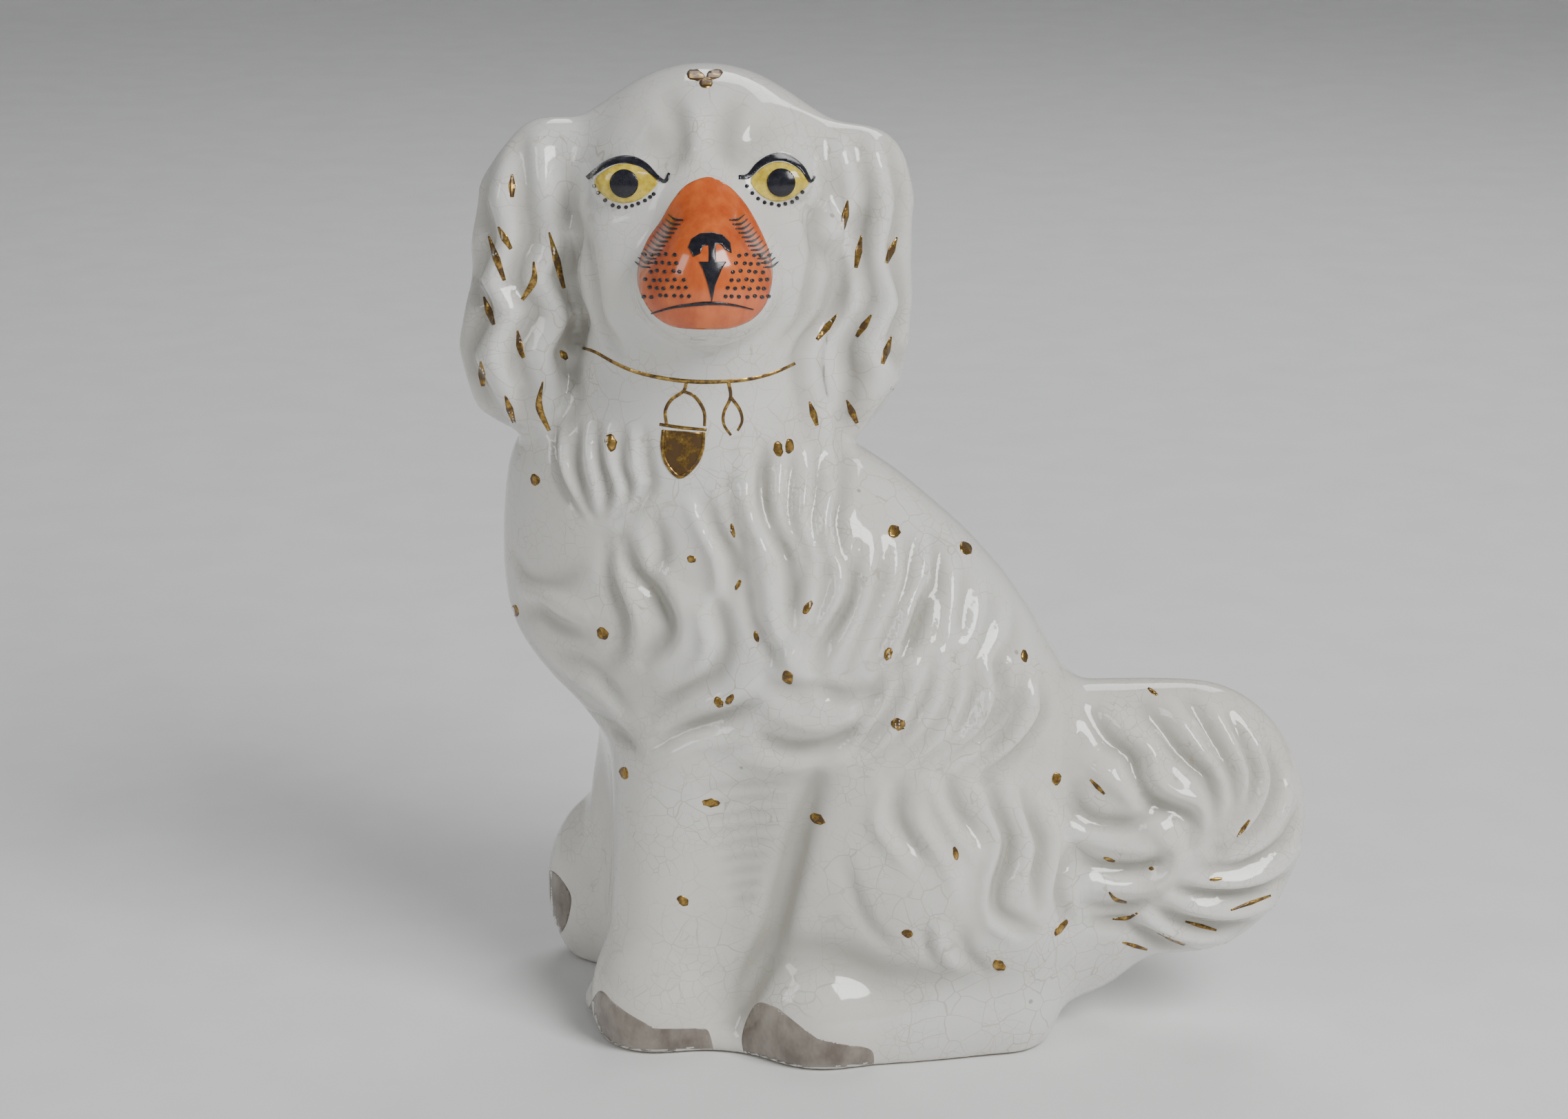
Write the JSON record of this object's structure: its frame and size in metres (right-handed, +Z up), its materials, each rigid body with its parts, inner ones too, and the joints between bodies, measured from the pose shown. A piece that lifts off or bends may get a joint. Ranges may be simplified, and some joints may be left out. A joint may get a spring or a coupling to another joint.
{
  "type": "ceramic dog figurine",
  "caption": "Seated spaniel mantel figurine in hollow press-moulded glazed earthenware, head turned to face the viewer, with painted muzzle and gilded collar, padlock and coat marks.",
  "frame": {"origin": "on the surface the figure stands on, under the middle of its bounding box", "axes": "+Z up; +X towards the tail; -Y towards the side and face the figure shows"},
  "size_m": [0.277, 0.1347, 0.322],
  "materials": {
    "glazed_body": "cream-white lead glaze, glossy, finely crazed with tan lines",
    "fired_clay": "fired earthenware body, matt, lightly soiled",
    "orange_enamel": "thin iron-orange enamel, brushed, glossy",
    "black_enamel": "black enamel, hand brushed, satin to glossy",
    "yellow_enamel": "yellow enamel, glossy, slightly streaked",
    "toe_wash": "thin grey-brown enamel wash, uneven",
    "gilding": "fired gilding, burnished and rubbed thin in places"
  },
  "bodies": {
    "root": {"back_shell": "glazed_body", "base_slab": "fired_clay", "chain_gilding": "gilding", "chest_gilding": "gilding", "collar_gilding": "gilding", "far_forepaw_wash": "toe_wash", "flank_gilding": "gilding", "front_shell": "glazed_body", "left_ear_gilding": "gilding", "left_eyelid": "black_enamel", "left_iris": "yellow_enamel", "left_lash_dots": "black_enamel", "left_pupil": "black_enamel", "leg_gilding": "gilding", "mouth_line": "black_enamel", "muzzle_enamel": "orange_enamel", "near_forepaw_wash": "toe_wash", "near_hind_paw_wash": "toe_wash", "nose_enamel": "black_enamel", "padlock_gilding": "gilding", "padlock_shackle_gilding": "gilding", "right_ear_gilding": "gilding", "right_eyelid": "black_enamel", "right_iris": "yellow_enamel", "right_lash_dots": "black_enamel", "right_pupil": "black_enamel", "seam_roll": "fired_clay", "tail_gilding": "gilding", "whisker_dots": "black_enamel", "whisker_hairs": "black_enamel"}
  },
  "joints": []
}
